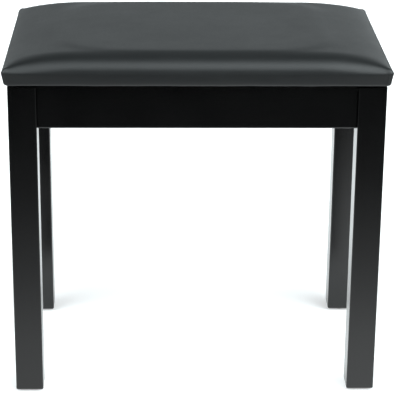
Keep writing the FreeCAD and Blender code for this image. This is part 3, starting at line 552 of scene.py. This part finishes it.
def wave_lower_edge(points, on_band):
    """Let the lower edge wander a little up and down."""
    x, y, z = points.T
    from_end, from_side = HALF_LENGTH - np.abs(x), HALF_DEPTH - np.abs(y)
    reach = np.clip(1 - (z - UNDERSIDE) / WAVE_RISE, 0, 1)
    reach = reach * np.clip(1 - (np.minimum(from_end, from_side) - BAND_TAPER) / (8 * MM), 0, 1) * on_band
    along = np.where(from_end < from_side, y + 0.7 * np.sign(x), x + 0.31 * np.sign(y))
    wave = sum(np.sin(along * pitch + phase) * share for pitch, phase, share in WAVES)
    points[:, 2] += EDGE_WAVE * wave * reach


def belly_sides(points):
    """Long sides stand out a little at their middle."""
    x, y, z = points.T
    middle = np.clip(1 - (x / (HALF_LENGTH - 30 * MM)) ** 2, 0, 1)
    near_side = np.clip(1 - (HALF_DEPTH - np.abs(y)) / (25 * MM), 0, 1)
    belly = bump_at(z, UNDERSIDE + 6 * MM, 10 * MM) * near_side
    points[:, 1] += np.sign(y) * BULGE * middle * belly * (z > UNDERSIDE + UNDER_MARGIN)


def fold_corners(cover):
    """Tuck the cover at the corners of the band, wave its lower edge and belly its long sides."""
    points = co_of(cover.data)
    height = points[:, 2].copy()
    low = np.clip((CREASE - height) / (CREASE - UNDERSIDE), 0, 1)
    taper = BAND_TAPER * low
    on_band = (height < CREASE + BAND_MARGIN) & (height > UNDERSIDE - 1 * MM)
    top_fade = np.clip((CREASE + BAND_MARGIN - height) / (4 * MM), 0, 1)
    tuck_ends(points, low, taper, on_band, top_fade)
    gather_sides(points, low, taper, on_band, top_fade)
    wave_lower_edge(points, on_band)
    belly_sides(points)
    set_co(cover.data, points)


def make_seat_cover(finish):
    """The vinyl cover over its foam, stuffed, smoothed and folded at the corners."""
    cover = seat_cover_mesh()
    stuff(cover)
    smooth = cover.modifiers.new("smooth", "SUBSURF")
    smooth.levels = 1
    smooth.render_levels = 1
    depsgraph = bpy.context.evaluated_depsgraph_get()
    data = bpy.data.meshes.new_from_object(cover.evaluated_get(depsgraph))
    cover.modifiers.clear()
    cover.data = data
    fold_corners(cover)
    cover.data.materials.clear()
    cover.data.materials.append(finish)
    cover.data.polygons.foreach_set("use_smooth", [True] * len(cover.data.polygons))
    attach(cover, "lid")
    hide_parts("seat_cover", "seat_foam")
    return cover


# ------------------------------------------------------- floor, light and camera

def flat_sheet(name, half_x, low_y, high_y, height):
    """Level rectangle for the stage."""
    mesh = bpy.data.meshes.new(name)
    outline = ((-half_x, low_y), (half_x, low_y), (half_x, high_y), (-half_x, high_y))
    corners = [(x, y, height) for x, y in outline]
    mesh.from_pydata(corners, [], [(0, 1, 2, 3)])
    sheet = bpy.data.objects.new(name, mesh)
    bpy.context.scene.collection.objects.link(sheet)
    return sheet


def pale_floor():
    """Pale floor that glows a little by itself; from below it lets the view through."""
    sheet = flat_sheet("floor", 40, -40, 40, 0)
    made, g = material("pale_floor")
    place = g.stretched((1, 1, 1))
    shade = g.mix(g.noise(place, 3.0, 3.0), (0.80, 0.80, 0.80), (0.83, 0.83, 0.83))
    matt = g.add("ShaderNodeBsdfDiffuse", Color=shade).outputs[0]
    glow = g.add("ShaderNodeEmission", Color=(1, 1, 1, 1), Strength=FLOOR_GLOW).outputs[0]
    front = g.add("ShaderNodeAddShader", **{"0": matt, "1": glow}).outputs[0]
    clear = g.add("ShaderNodeBsdfTransparent").outputs[0]
    facing = g.tree.nodes.new("ShaderNodeNewGeometry").outputs["Backfacing"]
    mixed = g.add("ShaderNodeMixShader", **{"0": facing, "1": front, "2": clear}).outputs[0]
    out = g.tree.nodes.new("ShaderNodeOutputMaterial")
    g.tree.links.new(mixed, out.inputs["Surface"])
    made.cycles.emission_sampling = "NONE"
    sheet.data.materials.append(made)


def floor_in_reflections():
    """Hidden sheet, seen by glossy surfaces only: brighter than the floor, and dark further off."""
    sheet = flat_sheet("floor_reflected", 12, -12, 12, REFLECTED_HEIGHT)
    made, g = material("floor_reflected")
    coord = g.tree.nodes.new("ShaderNodeTexCoord")
    split = g.add("ShaderNodeSeparateXYZ", Vector=coord.outputs["Object"])
    x, y, _ = split.outputs
    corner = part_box("leg_back_right")[1]
    in_front = g.math("SUBTRACT", g.math("MULTIPLY", y, -1.0), corner.y)
    beside = g.math("SUBTRACT", g.math("ABSOLUTE", x), corner.x)
    behind = g.math("SUBTRACT", y, corner.y + REFLECTED_BEHIND)
    away = g.math("MAXIMUM", g.math("MAXIMUM", in_front, beside), behind)
    level = g.ramp(g.math("MULTIPLY", away, 0.5), REFLECTED_FLOOR)
    tint = (0.95, 0.99, 1.0, 1.0)
    tinted = g.add("ShaderNodeMixRGB", {"blend_type": "MULTIPLY"}, Fac=1.0, Color1=level, Color2=tint)
    strength = g.remap(x, -0.3, 0.3, *REFLECTED_STRENGTH)
    glow = g.add("ShaderNodeEmission", Color=tinted.outputs[0], Strength=strength).outputs[0]
    clear = g.add("ShaderNodeBsdfTransparent").outputs[0]
    shown = g.math("GREATER_THAN", away, 0.004)
    mixed = g.add("ShaderNodeMixShader", **{"0": shown, "1": clear, "2": glow}).outputs[0]
    out = g.tree.nodes.new("ShaderNodeOutputMaterial")
    g.tree.links.new(mixed, out.inputs["Surface"])
    made.cycles.emission_sampling = "NONE"
    sheet.data.materials.append(made)
    sheet.visible_camera = False
    sheet.visible_diffuse = False
    sheet.visible_shadow = False
    sheet.visible_transmission = False


def studio_light():
    """Pale backdrop low behind and a soft lamp between overhead and the front; the camera sees white."""
    world = bpy.data.worlds.new("studio")
    bpy.context.scene.world = world
    world.use_nodes = True
    g = Graph(world.node_tree)
    coord = g.tree.nodes.new("ShaderNodeTexCoord")
    split = g.add("ShaderNodeSeparateXYZ", Vector=coord.outputs["Generated"])
    x, y, z = split.outputs
    lean = g.math("ARCTAN2", g.math("MULTIPLY", y, -1.0), z)
    peak = max(level for _, level in LIGHT_BY_LEAN)
    stops = [((angle + 90) / 180, level / peak) for angle, level in LIGHT_BY_LEAN]
    across = g.ramp(g.remap(lean, -math.pi / 2, math.pi / 2), stops)
    along = g.remap(x, -1.0, 1.0)
    backdrop = g.ramp(along, BACKDROP_ALONG)
    lamp = g.ramp(along, LAMP_ALONG)
    overhead = g.remap(lean, -0.35, -0.1, 0.0, 1.0, smooth=True)
    spread = g.mix(overhead, backdrop, lamp)
    main = g.math("MULTIPLY", g.math("MULTIPLY", across, spread), LIGHT_STRENGTH * peak)
    above = g.remap(z, 0.05, 0.30, 0.0, 1.0, smooth=True)
    right = g.math("MULTIPLY", g.remap(x, 0.55, 0.85, 0.0, 1.0, smooth=True), above)
    left = g.math("MULTIPLY", g.remap(x, -0.55, -0.85, 0.0, 0.3, smooth=True), above)
    level = g.math("ADD", main, g.math("ADD", right, left))
    glow = g.add("ShaderNodeBackground", Color=(0.90, 0.98, 1.0, 1.0), Strength=level).outputs[0]
    white = g.add("ShaderNodeBackground", Color=(1.0, 1.0, 1.0, 1.0), Strength=1.0).outputs[0]
    seen = g.tree.nodes.new("ShaderNodeLightPath").outputs["Is Camera Ray"]
    mixed = g.add("ShaderNodeMixShader", **{"0": seen, "1": glow, "2": white}).outputs[0]
    out = g.tree.nodes.new("ShaderNodeOutputWorld")
    g.tree.links.new(mixed, out.inputs["Surface"])
    settings = bpy.context.scene.view_settings
    settings.view_transform = "Standard"
    settings.look = "None"


def place_camera():
    """Camera at the picture's viewing angle."""
    data = bpy.data.cameras.new("camera")
    data.lens = CAMERA_LENS
    data.sensor_width = CAMERA_SENSOR
    data.clip_start = 0.1
    data.clip_end = 200.0
    camera = bpy.data.objects.new("camera", data)
    bpy.context.scene.collection.objects.link(camera)
    level = math.cos(CAMERA_PITCH)
    forward = Vector((math.sin(CAMERA_YAW) * level, math.cos(CAMERA_YAW) * level, -math.sin(CAMERA_PITCH)))
    right = Vector((math.cos(CAMERA_YAW), -math.sin(CAMERA_YAW), 0))
    up = right.cross(forward)
    turned_right = right * math.cos(CAMERA_ROLL) + up * math.sin(CAMERA_ROLL)
    turned_up = up * math.cos(CAMERA_ROLL) - right * math.sin(CAMERA_ROLL)
    rotation = Matrix((turned_right, turned_up, -forward)).transposed()
    camera.matrix_world = Matrix.Translation(CAMERA_PLACE) @ rotation.to_4x4()
    bpy.context.scene.camera = camera


# ------------------------------------------------------------------------- main

FINISHES = {
    "black_lacquer": black_lacquer(),
    "block_wood": wood("block_wood", (0.60, 0.43, 0.26), (0.40, 0.26, 0.14), "diagonal", 150.0),
    "seat_plywood": plywood(),
    "floor_panel": wood(
        "floor_panel", (0.030, 0.028, 0.027), (0.012, 0.011, 0.011), "x", 130.0, (0.42, 0.55)
    ),
    "zinc_steel": metal("zinc_steel", (0.62, 0.62, 0.60), (0.50, 0.48, 0.42), (0.28, 0.40), (1, 1, 0.2)),
    "nickel_steel": metal("nickel_steel", (0.66, 0.64, 0.60), (0.56, 0.54, 0.50), (0.20, 0.34), (0.08, 1, 1)),
    "staple_wire": metal("staple_wire", (0.55, 0.55, 0.55), (0.42, 0.42, 0.42), (0.30, 0.42), (1, 1, 1)),
    "glide_plastic": moulded(
        "glide_plastic", (0.012, 0.012, 0.012), (0.030, 0.030, 0.030), (0.45, 0.6), 900.0, 0.0003
    ),
    "bumper_rubber": moulded(
        "bumper_rubber", (0.020, 0.020, 0.020), (0.035, 0.034, 0.033), (0.7, 0.85), 1400.0, 0.0003
    ),
    "seat_vinyl": seat_vinyl(),
    "seat_foam": moulded("seat_foam", (0.72, 0.66, 0.45), (0.78, 0.72, 0.52), (0.85, 0.95), 500.0, 0.001),
    "dust_cloth": dust_cloth(),
}
paint_cad_nodes(FINISHES)
make_seat_cover(FINISHES["seat_vinyl"])
pale_floor()
floor_in_reflections()
studio_light()
place_camera()
